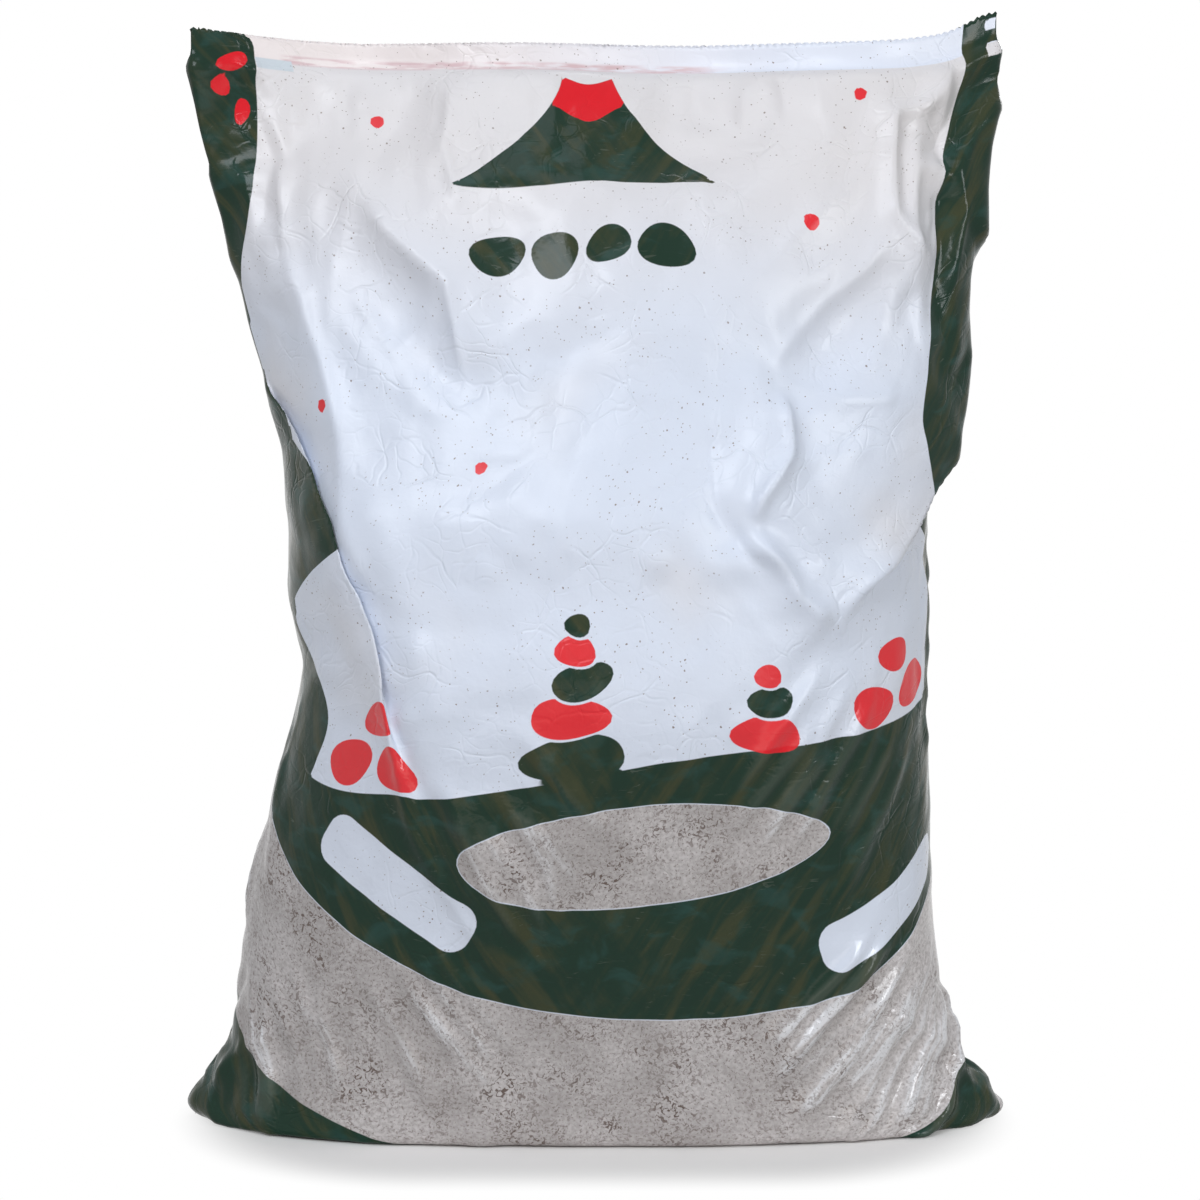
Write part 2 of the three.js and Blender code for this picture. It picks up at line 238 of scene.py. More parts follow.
# Colours, as they render
WHITE_FILM = (0.685, 0.74, 0.85)
# Painted warm shade on the white film
WARM_SHADED_FILM = (0.73, 0.70, 0.70)
GREEN_INK = (0.009, 0.032, 0.019)
# Painted reflections on the green ink: olive for warm light, teal for the cool sky
OLIVE_PAINTED_REFLECTION = (0.042, 0.050, 0.022)
TEAL_PAINTED_REFLECTION = (0.020, 0.066, 0.056)
# Greyer green: real rubbed scratches, and a painted highlight on wrinkle crests
RUBBED_AND_SHEEN_INK = (0.13, 0.15, 0.12)
RED_INK = (0.74, 0.012, 0.022)
GREY_INK = (0.42, 0.395, 0.39)
GREY_SHADE = (0.24, 0.215, 0.205)
PALE_GREY_INK = (0.62, 0.59, 0.59)
# Painted highlight: a pale grey laid on the crests of wrinkles, standing for their sheen
GREY_CREST_SHEEN = (0.76, 0.77, 0.80)  # on the crests of wrinkles
FLECK = (0.085, 0.05, 0.036)
SPECK = (0.17, 0.11, 0.085)
DUST = (0.66, 0.48, 0.50)
TAPE = (0.60, 0.66, 0.71)
WARM_STRIP = (0.84, 0.77, 0.76)
COOL_STRIP = (0.76, 0.80, 0.90)

# Patches of noise on the film: their size in millimetres and the noise levels between which they set in.
# "stretch" draws them out, and two turns slant them one way on the film's left and another on its right.
# "share" is how much of what lies under them they cover, where that isn't all of it.
# Patches of painted warm shade on the white film
WARM_SHADE_PATCHES = {"size": 130, "levels": (0.5, 0.9)}
DUST_STREAKS = {"size": 4, "levels": (0.35, 0.6), "stretch": (0.2, 1, 1)}
SPECK_CLUSTERS = {"size": 55, "levels": (0.36, 0.58), "share": 0.85}
GREY_CLOUDS = {"size": 42, "levels": (0.36, 0.64), "share": 0.6}
GREY_MOTTLE = {"size": 2.2, "levels": (0.66, 0.34), "share": 0.4}
# Streaks of the painted highlight along wrinkle crests
CREST_SHEEN_STREAKS = {"size": 3, "levels": (0.36, 0.60), "stretch": (0.12, 1, 1), "turns": (58, -42), "share": 0.75}
FLECK_CLUSTERS = {"size": 28, "levels": (0.38, 0.66), "detail": 3}
FLECKS = {"size": 3, "levels": (0.55, 0.61), "distortion": 1.5}
FINE_FLECKS = {"size": 1.4, "levels": (0.59, 0.66), "detail": 1, "distortion": 0.8, "share": 0.55}
# Streaks and blotches of painted reflection on the green ink
OLIVE_REFLECTION_STREAKS = {"size": 9, "levels": (0.42, 0.70), "detail": 3, "distortion": 0.5, "stretch": (1, 0.16, 1),
                 "turns": (-34, 32)}
TEAL_REFLECTION_BLOTCHES = {"size": 14, "levels": (0.50, 0.72), "detail": 3, "distortion": 0.6, "stretch": (0.7, 1, 1),
                 "share": 0.6}
SCRATCHES = {"size": 3, "levels": (0.64, 0.72), "distortion": 2, "stretch": (0.25, 1, 1), "share": 0.35}
SCRATCHED = {"size": 35, "levels": (0.45, 0.65)}
CRINKLED = {"size": 50, "levels": (0.42, 0.62)}
SLANT_TURNOVER = (-50, 60)  # where the left slant passes into the right one
# Specks: the spacing of the cells that may hold one, and a speck's half width
SPECKS = [(2.4, 0.34), (6.0, 0.55)]
SPECK_EDGE = (1.3, 0.6)  # a speck starts and is full at these shares of that
SPECK_CHANCE = 0.5
RAGGED = {"Scale": 0.9, "Detail": 1.0}  # the noise that makes specks ragged
# Places on the flat film, from and to: where the neck's painted warm shade sets in, the weld turns cool, the
# grey turns pale
WARM_SHADE_UP = (470, 620)
WARM_SHADE_SHARE = 0.9
STRIP_TURNS = (-120, 130)
WELD_EDGE = 0.5
GREY_PALES = (40, 200)
FLECK_SHARE = (0.9, 0.55)  # how much the flecks cover: on the dark grey, on the pale
# The front's rubbed line at the weld and scrap of tape: the places where they set in and where they end
RUBBED_LINE = {"across": (-178, -172, 40, 75), "up": (-2, 1, 4, 6)}
TAPE_SCRAP = {"across": (-191, -190, -171, -170), "up": (-6, -5, 1, 2)}
# How high wrinkles are where a painted highlight lies on their crests, on the grey and on the green
GREY_SHEEN_CRESTS = (1.6, 4.0)
GREEN_SHEEN_CRESTS = (1.4, 3.8)
# How much of the green's crests the painted highlight covers
GREEN_CREST_SHEEN = 0.32
PRINT_EDGE = 0.3  # half the width over which one colour passes into the next
# The film's bump: nets of fine creases of two sizes, soft waves and the fill's grains, by size and height
SWIRL = {"Scale": 0.05, "Detail": 1.0}
SWIRL_REACH = 22
NETS = [(30, 0.05, 0.20), (12, 0.10, 0.10)]  # cell size, width of the creases as a share of it, height
WAVES = (9, 0.25)
GRAINS = (4.5, 0.12)
GRAINS_END = (430, 250)

# How strongly the bare film and the green ink mirror the light
WHITE_GLOSS = 0.46
GREEN_GLOSS = 0.17
FILL_ROUGHNESS = (0.10, 0.24)  # the film over the fill is tight and shiny
ROUGH_PATCHES = 45
DUST_ROUGHNESS = 0.20  # the white neck is dusty, and rougher by this
ROUGH_UP = (260, 330)

# The camera, and the light's level
CAMERA_AT = (0.0027, -1.6, 0.45)
CAMERA_AIM = (0.0027, 0.0, 0.285)
CAMERA_LENS = 89.04
CAMERA_SENSOR = 36
SKY_LIGHT = 0.22
# Away from a line under the bag the floor is seen as white: the line's half length, then from and to
FLOOR_LINE = 0.09
FLOOR_NEAR = 0.085
FLOOR_FAR = 0.145
FLOOR_COLOUR = (0.94, 0.92, 0.90)
FAR_FLOOR = (0.46, 0.45, 0.44)  # out of the camera's sight it throws less light back at the bag
FLOOR_REACH = 8.0
# Lamps: name, place, what they point at, size, power and colour
LAMPS = [
    ("key", (-0.8, -1.9, 1.55), (0, 0, 0.3), (1.0, 0.7), 22, (0.92, 0.96, 1.02)),
    ("top", (-0.45, -0.9, 2.65), (0, 0, 0.32), (1.7, 1.1), 11, (0.91, 0.96, 1.03)),
    ("back", (0.1, 1.2, 2.1), (0, 0, 0.1), (1.6, 0.8), 12, (0.97, 0.98, 1.0)),
    ("rear", (0.6, 2.1, 1.3), (0, 0, 0.3), (1.2, 0.9), 20, (0.94, 0.97, 1.0)),
    ("right", (1.45, -1.6, 0.8), (0.1, 0, 0.25), (0.45, 0.8), 13, (0.95, 0.98, 1.0)),
    ("low", (0.1, -1.5, 0.14), (0, 0, 0.42), (1.8, 0.4), 3, (1.0, 0.88, 0.76)),
]

BACK_DRIFT = 0.4  # textures drift by this share of the way round the back, so it doesn't mirror the front
FRONT_DRIFT = 1.0  # what drifts by more than this is on the back
BAKE_WALL = 0.96  # the share of the baked map's height that the tube takes
BAKE_STRIPS = {"foot": 0.7, "top": 0.3, "back": 0.2}  # the ends' places in the rest, with a step for the back

random = np.random.default_rng(7)


def even_along(points, count):
    """The polyline again, as that many points evenly spaced along its length."""
    steps = np.linalg.norm(np.diff(points, axis=0), axis=1)
    along = np.concatenate([[0.0], np.cumsum(steps)])
    at = np.linspace(0.0, along[-1], count)
    return np.stack([np.interp(at, along, points[:, k]) for k in range(3)], axis=1)


def cad_surface():
    """The CAD solid's points in millimetres, its edges as pairs of points, and a tree to find its surface."""
    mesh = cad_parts["sealed_bag"].data
    points = np.empty(len(mesh.vertices) * 3, np.float32)
    mesh.vertices.foreach_get("co", points)
    points = points.reshape(-1, 3).astype(float) / MM
    edges = np.array([e.vertices[:] for e in mesh.edges])
    tree = BVHTree.FromPolygons(points.tolist(), [p.vertices[:] for p in mesh.polygons])
    return points, edges, tree


def side_lines(points, edges, heights):
    """How far the solid reaches to the left and right at each height."""
    low, high = points[edges[:, 0]], points[edges[:, 1]]
    left, right = [], []
    for height in heights:
        crossing = (low[:, 2] - height) * (high[:, 2] - height) <= 0
        a, b = low[crossing], high[crossing]
        rise = b[:, 2] - a[:, 2]
        share = np.where(np.abs(rise) > 1e-6, (height - a[:, 2]) / np.where(rise == 0, 1, rise), 0.5)
        x = a[:, 0] + share * (b[:, 0] - a[:, 0])
        left.append(x.min())
        right.append(x.max())
    return np.array(left), np.array(right)


def top_line(points):
    """The height of the trimmed edge as a function of x, with a right corner steeper than the solid's."""
    strip = points[points[:, 2] > points[:, 2].max() - TOP_STRIP]
    x, z = strip[:, 0], strip[:, 2]
    slots = np.linspace(x.min(), x.max(), TOP_SLOTS)
    middles = (slots[1:] + slots[:-1]) / 2
    tops = np.array([z[(x >= a) & (x <= b)].max() for a, b in zip(slots, slots[1:])])
    rise = tops - tops.min()
    tops = np.where(middles > 0, tops.min() + rise * rise / rise.max(), tops)
    return lambda x: np.interp(x, middles, tops)


def face_grid(side, tree, levels, left, right, top, columns):
    """Points of the solid's front or back, in rows from the foot up, each from left to right."""
    spread = -np.cos(np.linspace(0.0, np.pi, RAYS_ACROSS))
    rows = []
    for level, low, high in zip(levels, left, right):
        x = (low + high) / 2 + spread * (high - low) / 2
        z = level * top(x)
        line = []
        for px, pz in zip(x, z):
            hit = tree.ray_cast(Vector((px, side * RAY_START, pz)), Vector((0, -side, 0)))[0]
            if hit is None:
                hit = tree.find_nearest(Vector((px, 0, pz)))[0]
            line.append(hit[:])
        rows.append(even_along(np.array(line), columns))
    return np.array(rows)


def film_on_cad():
    """The film laid on the CAD solid: a grid of points, in rows round the tube from the foot's weld up."""
    points, edges, tree = cad_surface()
    top = top_line(points)
    levels = np.linspace(*RAY_HEIGHTS, RAY_ROWS)
    middle_top = float(top(0.0))
    heights = np.minimum(levels * middle_top, middle_top - WELD_STRIP)
    left, right = side_lines(points, edges, heights)
    half = COLUMNS // 2
    front = face_grid(FRONT, tree, levels, left, right, top, half + 1)
    back = face_grid(BACK, tree, levels, left, right, top, half + 1)
    tube = np.concatenate([front, back[:, -2:0:-1]], axis=1)
    open_share = np.linspace(FOOT_PINCH, 1.0, FOOT_ROWS)[:-1, None, None]
    foot = tube[:1] * open_share ** np.array([0, 1, 0])
    tube = np.concatenate([foot, tube], axis=0)
    return np.stack([even_along(tube[:, j], ROWS + 1) for j in range(COLUMNS)], axis=1)


def smoothed(grid, rounds):
    """The grid with each inner point moved half way to the mean of its four neighbours, that many times."""
    grid = grid.copy()
    for _ in range(rounds):
        mean = np.roll(grid, 1, axis=1) + np.roll(grid, -1, axis=1)
        mean[1:-1] += grid[:-2] + grid[2:]
        grid[1:-1] = (grid[1:-1] + mean[1:-1] / 4) / 2
    return grid


def normals_of(grid):
    """The outward normal at each point of the tube."""
    around = np.roll(grid, -1, axis=1) - np.roll(grid, 1, axis=1)
    along = np.gradient(grid, axis=0)
    out = np.cross(around, along)
    return out / (np.linalg.norm(out, axis=2, keepdims=True) + 1e-9)


def keep_length(a, b, rest, stiffness, push_only=False):
    """Moves two sets of points, in place, towards their rest distance."""
    gap = b - a
    length = np.sqrt(np.einsum("ijk,ijk->ij", gap, gap)) + 1e-6
    excess = (length - rest) / length
    if push_only:
        excess = np.minimum(excess, 0)
    pull = gap * (0.5 * stiffness * excess)[..., None]
    a += pull
    b -= pull


def rest_lengths(home, spare):
    """The film's lengths as laid, with some to spare: round, along, on both slants and over two steps."""
    def length(a, b, share):
        return (np.linalg.norm(b - a, axis=2) * (1 + share)).astype(np.float32)

    after = np.roll(home, -1, axis=1)
    return {
        "around": length(home, after, spare),
        "along": length(home[:-1], home[1:], spare[:-1]),
        "rise": length(home[:-1], after[1:], spare[:-1]),
        "fall": length(after[:-1], home[1:], spare[:-1]),
        "bend_around": length(home, np.roll(home, -2, axis=1), spare),
        "bend_along": length(home[:-2], home[2:], spare[1:-1]),
    }


def relax(film, home, out, rest, give, stand, rounds, bend, weld):
    """Lets the film settle: it keeps its lengths and stays near the shape that it was laid in."""
    seam = film[0].copy()
    for _ in range(rounds):
        keep_length(film[:, 0:-1:2], film[:, 1::2], rest["around"][:, 0:-1:2], 1.0)
        keep_length(film[:, 1:-1:2], film[:, 2::2], rest["around"][:, 1:-1:2], 1.0)
        keep_length(film[:, -1:], film[:, :1], rest["around"][:, -1:], 1.0)
        for s in (0, 1):
            keep_length(film[s:-1:2], film[s + 1 :: 2], rest["along"][s::2], 1.0)
            keep_length(film[s:-1:2, :-1], film[s + 1 :: 2, 1:], rest["rise"][s::2, :-1], SLANT_STIFFNESS)
            keep_length(film[s:-1:2, 1:], film[s + 1 :: 2, :-1], rest["fall"][s::2, :-1], SLANT_STIFFNESS)
        for s in range(4):
            keep_length(film[:, s:-2:4], film[:, s + 2 :: 4], rest["bend_around"][:, s:-2:4], bend, True)
            keep_length(film[s:-2:4], film[s + 2 :: 4], rest["bend_along"][s::4], bend, True)
        off = np.einsum("ijk,ijk->ij", film - home, out)
        film += (np.clip(off, -give, stand) - off)[..., None] * out
        film[..., 2] = np.maximum(film[..., 2], FLOOR_GAP)
        film[0] = seam
        film[weld:] = home[weld:]
    return film


def doubled(grid):
    """The grid with a point added between each two, round the tube and along it."""
    wide = np.empty((grid.shape[0], grid.shape[1] * 2, 3), grid.dtype)
    wide[:, 0::2] = grid
    wide[:, 1::2] = (grid + np.roll(grid, -1, axis=1)) / 2
    tall = np.empty((grid.shape[0] * 2 - 1, wide.shape[1], 3), grid.dtype)
    tall[0::2] = wide
    tall[1::2] = (wide[1:] + wide[:-1]) / 2
    return tall


def ease(x, low, high):
    """A soft step from 0 at the low value to 1 at the high one."""
    x = np.clip((x - low) / (high - low), 0, 1)
    return x * x * (3 - 2 * x)


def sampled(grid, rows, columns):
    """The grid's values at fractional rows and columns."""
    r0 = np.clip(np.floor(rows).astype(int), 0, grid.shape[0] - 2)
    c0 = np.floor(columns).astype(int)
    fr, fc = (rows - r0)[..., None], (columns - c0)[..., None]
    c0, c1 = c0 % grid.shape[1], (c0 + 1) % grid.shape[1]
    low = grid[r0, c0] * (1 - fc) + grid[r0, c1] * fc
    high = grid[r0 + 1, c0] * (1 - fc) + grid[r0 + 1, c1] * fc
    return low * (1 - fr) + high * fr


def soft_noise(shape, cells, strength):
    """Smooth seeded noise over the tube, with no step where it closes."""
    coarse = random.normal(size=(cells[0] + 1, cells[1]))
    rows = np.linspace(0, cells[0], shape[0])
    columns = np.linspace(0, cells[1], shape[1], endpoint=False)
    rows, columns = (np.floor(x) + ease(x - np.floor(x), 0, 1) for x in (rows, columns))
    rows, columns = np.meshgrid(rows, columns, indexing="ij")
    return strength * sampled(coarse[..., None], rows, columns)[..., 0]


class Flat:
    """Film coordinates: g round the tube from the middle of the front, v up from the foot's weld."""

    def __init__(self, home):
        self.home = home
        rows, columns = home.shape[:2]
        self.step_g = 2 * FLAT_WIDTH / columns
        self.length = np.linalg.norm(np.diff(home[:, columns // 4], axis=0), axis=1).sum()
        self.step_v = self.length / (rows - 1)
        self.v, self.g = np.mgrid[0:rows, 0:columns].astype(float)
        self.v *= self.step_v
        self.g = self.g * self.step_g - FLAT_WIDTH / 2

    def at(self, place, face):
        """The film coordinates of a point [x, z] of the front or back view."""
        half = self.home.shape[1] // 2
        columns = slice(0, half + 1) if face == FRONT else slice(half, None)
        low = int(FOOT_SKIP / self.step_v)
        part = self.home[low:, columns]
        far = (part[..., 0] - place[0]) ** 2 + (part[..., 2] - place[1]) ** 2
        i, j = np.unravel_index(far.argmin(), far.shape)
        return np.array([self.g[0, columns][j], self.v[i + low, 0]])

    def middle(self, fold):
        """The film coordinates of a fold's middle."""
        return self.at(fold["at"], fold.get("face", FRONT))

    def from_point(self, point):
        """How far each film point lies from one point, round the tube and along it."""
        across = (self.g - point[0] + FLAT_WIDTH) % (2 * FLAT_WIDTH) - FLAT_WIDTH
        return across, self.v - point[1]

    def from_line(self, line):
        """Each film point's distance from a line, positive to its right, and its share of the way along."""
        steps = np.diff(line, axis=0)
        lengths = np.linalg.norm(steps, axis=1)
        before = np.concatenate([[0], np.cumsum(lengths)])
        best = np.full(self.g.shape, np.inf)
        side, share = np.zeros(self.g.shape), np.zeros(self.g.shape)
        for start, step, length, passed in zip(line, steps, lengths, before):
            across, along = self.from_point(start)
            forward = (across * step[0] + along * step[1]) / length
            right = (across * step[1] - along * step[0]) / length
            held = np.clip(forward, 0, length)
            far = np.hypot(forward - held, right)
            nearer = far < best
            best = np.where(nearer, far, best)
            side = np.where(nearer, np.where(right < 0, -far, far), side)
            share = np.where(nearer, (passed + held) / before[-1], share)
        return side, share


def fading_ends(share, part):
    """1 along a line, and falling to 0 over that part of it at both ends."""
    return ease(share, 0, part) * (1 - ease(share, 1 - part, 1))


def film_line(flat, fold):
    """A fold's line in film coordinates, drawn out before its start where the fold goes round the side."""
    line = np.array([flat.at(place, fold.get("face", FRONT)) for place in fold["line"]])
    before = fold.get("before", 0)
    if before:
        back = line[0] - line[1]
        line = np.concatenate([[line[0] + before * back / np.linalg.norm(back)], line])
    return line


def crease_lift(flat, crease):
    """How far one crease lifts the film, broadly and in a crisp ridge along its line."""
    side, share = flat.from_line(film_line(flat, crease))
    fade = np.where(side < 0, crease["fade"][0], crease["fade"][1])
    far = np.abs(side)
    broad = crease["lift"] * np.exp(-far / fade)
    crisp = crease["crisp"] * np.exp(-far / CRISP_FADE)
    return np.stack([broad, crisp]) * fading_ends(share, CREASE_ENDS)


def oval(flat, spot):
    """1 in the middle of an oval and 0 at its rim."""
    across, along = flat.from_point(flat.middle(spot))
    turn = math.radians(spot["turn"])
    a = (across * math.cos(turn) + along * math.sin(turn)) / spot["size"][0]
    b = (along * math.cos(turn) - across * math.sin(turn)) / spot["size"][1]
    return np.clip(1 - a * a - b * b, 0, 1) ** 2


def lap(flat, pleat, home, out):
    """The film with one pleat laid in it."""
    line = film_line(flat, pleat)
    side, share = flat.from_line(line)
    start = ease(share, 0, PLEAT_START)
    strength = start * (1 - ease(share, *pleat["ends"]))
    under, over = pleat["lap"]
    turn = 0.25 * (under + over)
    below = side + under * np.exp(side / LAP_FADE[0])
    above = side - over * np.exp(-side / LAP_FADE[1])
    moved = below + (above - below) * ease(side, -turn, turn)
    shift = (moved - side) * strength
    steps = np.diff(line, axis=0)
    ahead = (steps / np.linalg.norm(steps, axis=1, keepdims=True)).mean(axis=0)
    ahead /= np.linalg.norm(ahead)
    rows = (flat.v - shift * ahead[0]) / flat.step_v
    columns = (flat.g + shift * ahead[1] + FLAT_WIDTH / 2) / flat.step_g
    rows = np.clip(rows, 0, home.shape[0] - 1.001)
    sunk = -PLEAT_SINK * np.exp(side / PLEAT_FADE[0])
    raised = pleat["lift"] * np.exp(-side / PLEAT_FADE[1])
    turning = -PLEAT_SINK + (pleat["lift"] + PLEAT_SINK) * (side + turn) / (2 * turn)
    lifted = np.where(np.abs(side) < turn, turning, np.where(side < 0, sunk, raised))
    lifted = lifted * (start * (1 - ease(share, PLEAT_END, 1)))
    return sampled(home, rows, columns) + lifted[..., None] * sampled(out, rows, columns)


def wrinkle_lines(flat, group):
    """The lines of one set of wrinkles in film coordinates, each a little bent, with its lift."""
    middle = flat.middle(group)
    long, wide = group["size"]
    for k in range(group["count"]):
        turn = math.radians(group["turn"] + random.normal() * group["spread"])
        across = wide * (2 * (k + random.uniform(0.2, 0.8)) / group["count"] - 1)
        along = long * random.uniform(-1, 1) * math.sqrt(max(0.0, 1 - (across / wide) ** 2))
        base = math.radians(group["turn"])
        ahead = np.array([math.cos(base), math.sin(base)])
        aside = np.array([math.sin(base), -math.cos(base)])
        place = middle + along * ahead + across * aside
        half = random.uniform(*group["length"]) / 2
        run = half * np.array([math.cos(turn), math.sin(turn)])
        bend = WRINKLE_BEND * half * random.normal() * np.array([math.sin(turn), -math.cos(turn)])
        yield np.array([place - run, place + bend, place + run]), random.uniform(*group["lift"])


def wrinkle_lift(flat):
    """How far all the wrinkles lift the film."""
    total = np.zeros(flat.g.shape)
    for group in WRINKLES:
        for line, lift in wrinkle_lines(flat, group):
            side, share = flat.from_line(line)
            fall = (np.abs(side) / group["fade"]) ** group.get("round", 1)
            total += lift * np.exp(-fall) * fading_ends(share, WRINKLE_ENDS)
    return total


def facets(flat, crumple):
    """How far one crumple lifts the film: flat facets between scattered points of different heights."""
    across, along = flat.from_point(flat.middle(crumple))
    reach = np.array(crumple["size"])
    step = np.array(crumple["facet"])
    count = np.ceil(reach / step).astype(int) + 1
    spots = np.stack(np.meshgrid(*[np.arange(-n, n + 1) for n in count]), axis=-1).reshape(-1, 2)
    spots = (spots + random.uniform(-FACET_SCATTER, FACET_SCATTER, spots.shape)) * step
    heights = random.uniform(-1, 1, len(spots)) * crumple["lift"]
    corners, _, triangles, source, _, _ = delaunay_2d_cdt([Vector(p) for p in spots], [], [], 0, 1e-6)
    corners = np.array([c[:] for c in corners])
    heights = heights[[s[0] for s in source]]
    share = np.clip(1 - (across / reach[0]) ** 2 - (along / reach[1]) ** 2, 0, 1)
    inside = share > 0
    x, y = across[inside], along[inside]
    lift = np.zeros(len(x))
    for a, b, c in triangles:
        (ax, ay), (bx, by), (cx, cy) = corners[[a, b, c]]
        whole = (by - cy) * (ax - cx) + (cx - bx) * (ay - cy)
        near_a = ((by - cy) * (x - cx) + (cx - bx) * (y - cy)) / whole
        near_b = ((cy - ay) * (x - cx) + (ax - cx) * (y - cy)) / whole
        near_c = 1 - near_a - near_b
        held = (near_a >= 0) & (near_b >= 0) & (near_c >= 0)
        lift[held] = (near_a * heights[a] + near_b * heights[b] + near_c * heights[c])[held]
    total = np.zeros(across.shape)
    total[inside] = lift
    return total * np.minimum(1, FACET_RIM * share)


def weld_puff(flat):
    """How far the film stands out close under the top weld, where the two plies part."""
    below = flat.length - WELD_STRIP - flat.v
    puff = WELD_PUFF * np.exp(-below / PUFF_FADE[0]) * (1 - np.exp(-below / PUFF_FADE[1]))
    return np.where(below > 0, puff, 0)


def sharp_edges(laid, home):
    """The smoothed film with side edges as sharp as the solid's, and with the foot's corners drawn out."""
    flat = Flat(home)
    for column in (0, COLUMNS // 2):
        lost = laid[:, [column]] - home[:, [column]]
        aside = np.abs(flat.from_point((flat.g[0, column], 0))[0])
        home = home + lost * np.exp(-aside / SIDE_EDGE)[..., None]
        tip = home[0, column].copy()
        near = np.exp(-np.linalg.norm(home - tip, axis=2) / EAR_FADE)
        home[..., 0] += math.copysign(EAR_PULL, tip[0]) * near
    return home


def fold_lifts(flat):
    """How far the broad folds lift the film, how far the fine ones do, and how far the wrinkles alone."""
    below = 1 - ease(flat.v, *(flat.length - stop for stop in FOLD_STOP))
    broad, ridges = below * sum(crease_lift(flat, crease) for crease in CREASES)
    broad = broad - below * sum(dent["depth"] * oval(flat, dent) for dent in DENTS) + weld_puff(flat)
    wrinkles = wrinkle_lift(flat)
    fine = wrinkles + ridges + sum(facets(flat, crumple) for crumple in CRUMPLES)
    weld_line = flat.length - WELD_STRIP
    fine *= 1 - ease(flat.v, weld_line - FINE_STOP, weld_line)
    cells = (int(flat.length / LUMP_SIZE), int(2 * FLAT_WIDTH / LUMP_SIZE))
    over_fill = 1 - ease(flat.home[..., 2], FILL_TOP - LUMP_FADE, FILL_TOP)
    fine += soft_noise(flat.g.shape, cells, FILL_LUMPS) * over_fill
    return broad, fine, wrinkles


def settle(laid, out, fine, weld):
    """The laid film after it has settled, step by step on finer grids; the fine folds come in at the last."""
    neck = ease(laid[..., 2], FILL_TOP - NECK_BLEND, FILL_TOP + NECK_BLEND)
    spare = NECK_SPARE * neck
    give = FILL_GIVE[0] + (NECK_GIVE[0] - FILL_GIVE[0]) * neck
    stand = FILL_GIVE[1] + (NECK_GIVE[1] - FILL_GIVE[1]) * neck
    moved = None
    for step, rounds, bend in SETTLING:
        part = (slice(None, None, step), slice(None, None, step))
        base, normal = laid[part].astype(np.float32), out[part].astype(np.float32)
        if step == 1:
            base += fine[..., None].astype(np.float32) * normal
        film = base.copy() if moved is None else base + doubled(moved)
        if step > 1:
            cells = (base.shape[0] // BUMP_POINTS, base.shape[1] // BUMP_POINTS)
            bumps = soft_noise(base.shape[:2], cells, STARTING_BUMPS * step)
            film += (bumps * neck[part])[..., None].astype(np.float32) * normal
        rest = rest_lengths(base, spare[part])
        film = relax(film, base, normal, rest, give[part], stand[part], rounds, bend, weld // step)
        moved = film - base
    return film


def settled_film():
    """The film's grid, its film coordinates, the shape that it was laid in, and its wrinkles' lifts."""
    on_cad = film_on_cad()
    home = sharp_edges(on_cad, smoothed(on_cad, LAID_ROUNDS))
    out = smoothed(normals_of(home), NORMAL_ROUNDS)
    out /= np.linalg.norm(out, axis=2, keepdims=True)
    flat = Flat(home)
    broad, fine, wrinkles = fold_lifts(flat)
    laid = home
    for pleat in PLEATS:
        laid = lap(flat, pleat, laid, out)
    laid = smoothed(laid + broad[..., None] * out, 1)
    weld = int(round((flat.length - WELD_STRIP) / flat.step_v))
    film = smoothed(settle(laid, out, fine, weld), 1)
    film[..., 2] = np.maximum(film[..., 2], 0)
    film[-1, 0::2, 2] -= TOOTH_DEPTH
    return film, flat, laid, wrinkles


def print_place(flat, laid):
    """Where each film point lies on the flat print: the length that the pleats take up is counted in."""
    def lengths(grid):
        return np.linalg.norm(np.roll(grid, -1, axis=1) - grid, axis=2)

    extra = lengths(laid) - lengths(flat.home)
    total = np.cumsum(extra, axis=1) - extra
    total -= total[:, [COLUMNS // 4]]
    total = np.where(flat.g > FLAT_WIDTH, total - extra.sum(axis=1, keepdims=True), total)
    across = flat.from_point((0, 0))[0]
    total *= 1 - ease(np.abs(across), *(share * FLAT_WIDTH for share in PLEAT_PRINT))
    for _ in range(PRINT_ROUNDS):
        total[1:-1] = (total[:-2] + 2 * total[1:-1] + total[2:]) / 4
    return across + total


def curve(points):
    """A smooth curve through points, as a function of the first coordinate."""
    at, value = np.array(points, float).T
    slope = np.gradient(value, at)

    def read(x):
        x = np.clip(x, at[0], at[-1])
        k = np.clip(np.searchsorted(at, x) - 1, 0, len(at) - 2)
        width = at[k + 1] - at[k]
        t = (x - at[k]) / width
        start = (1 + 2 * t) * (1 - t) ** 2 * value[k] + t * (1 - t) ** 2 * width * slope[k]
        end = t * t * (3 - 2 * t) * value[k + 1] + t * t * (t - 1) * width * slope[k + 1]
        return start + end

    return read


def turned(x, v, at, turn):
    """Places seen from a point, along axes that are turned by an angle."""
    angle = math.radians(turn)
    x, v = x - at[0], v - at[1]
    return x * math.cos(angle) + v * math.sin(angle), v * math.cos(angle) - x * math.sin(angle)


def stone(x, v, at, size, turn, lump=STONE_LUMP):
    """The distance outside a lumpy oval."""
    a, b = turned(x, v, at, turn)
    around = np.arctan2(b / size[1], a / size[0])
    rim = 1 + lump * np.cos(3 * around + at[0]) + 0.5 * lump * np.cos(2 * around + at[1])
    far = np.hypot(a / size[0], b / size[1]) / rim
    return (far - 1) * far / (np.hypot(a / size[0] ** 2, b / size[1] ** 2) + 1e-6)


def plate(x, v, at, half, turn, rounding=PLATE_ROUND):
    """The distance outside a box with rounded corners."""
    a, b = turned(x, v, at, turn)
    a, b = np.abs(a) - half[0] + rounding, np.abs(b) - half[1] + rounding
    return np.hypot(np.maximum(a, 0), np.maximum(b, 0)) + np.minimum(np.maximum(a, b), 0) - rounding


